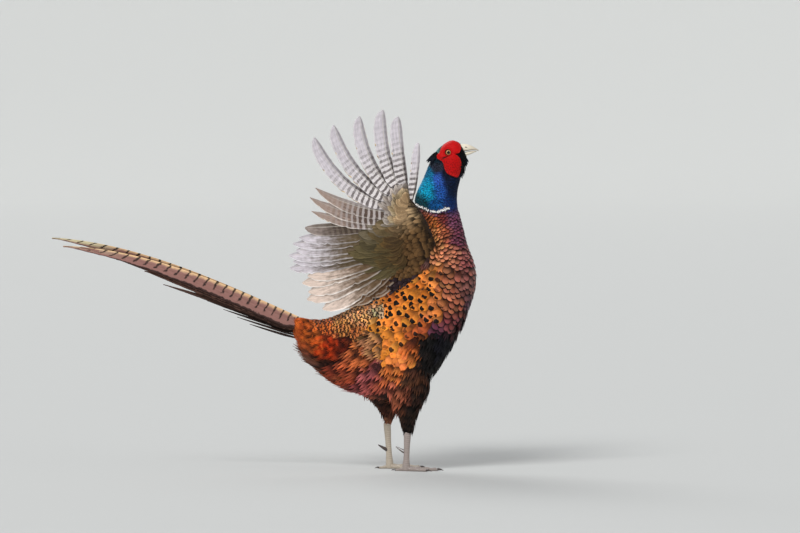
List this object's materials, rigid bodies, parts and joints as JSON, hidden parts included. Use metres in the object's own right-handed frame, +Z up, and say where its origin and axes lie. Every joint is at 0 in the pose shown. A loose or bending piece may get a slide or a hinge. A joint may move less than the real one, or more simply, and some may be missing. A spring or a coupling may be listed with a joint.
{
  "type": "common pheasant",
  "caption": "Life-size cock pheasant standing upright on both feet, wings raised and fanned over its back, with its long tail held out behind.",
  "frame": {"origin": "on the floor, at the middle of the bird's length and of its span", "axes": "+X the way the bird faces, from tail to bill; +Y towards its left wing; +Z up from the floor it stands on"},
  "size_m": [0.6397, 0.432, 0.5434],
  "materials": {
    "plumage": "soft body feathers, golden orange and copper with black tips",
    "blue_neck": "glossy blue-green head and neck feathers with a thin white collar",
    "red_face": "bare red skin with fine bumps",
    "horn": "smooth ivory horn",
    "eye": "wet eye with a pale iris and a black pupil",
    "flight": "barred brown and pale grey wing feathers",
    "tail": "buff tail feathers with black crossbars",
    "skin": "grey scaled leg skin",
    "claw": "dark horn"
  },
  "bodies": {
    "root": {"bill_lower": "horn", "bill_upper": "horn", "claw_left_hind": "claw", "claw_left_inner": "claw", "claw_left_middle": "claw", "claw_left_outer": "claw", "claw_right_hind": "claw", "claw_right_inner": "claw", "claw_right_middle": "claw", "claw_right_outer": "claw", "eye_left": "eye", "eye_right": "eye", "foot_left": "skin", "foot_right": "skin", "head": "blue_neck", "neck": "blue_neck", "rump": "plumage", "shank_left": "skin", "shank_right": "skin", "spur_left": "claw", "spur_right": "claw", "tail": "tail", "thigh_left": "plumage", "thigh_right": "plumage", "torso": "plumage", "wattle_left": "red_face", "wattle_right": "red_face", "wing_left_arm": "flight", "wing_left_hand": "flight", "wing_right_arm": "flight", "wing_right_hand": "flight"}
  },
  "joints": []
}
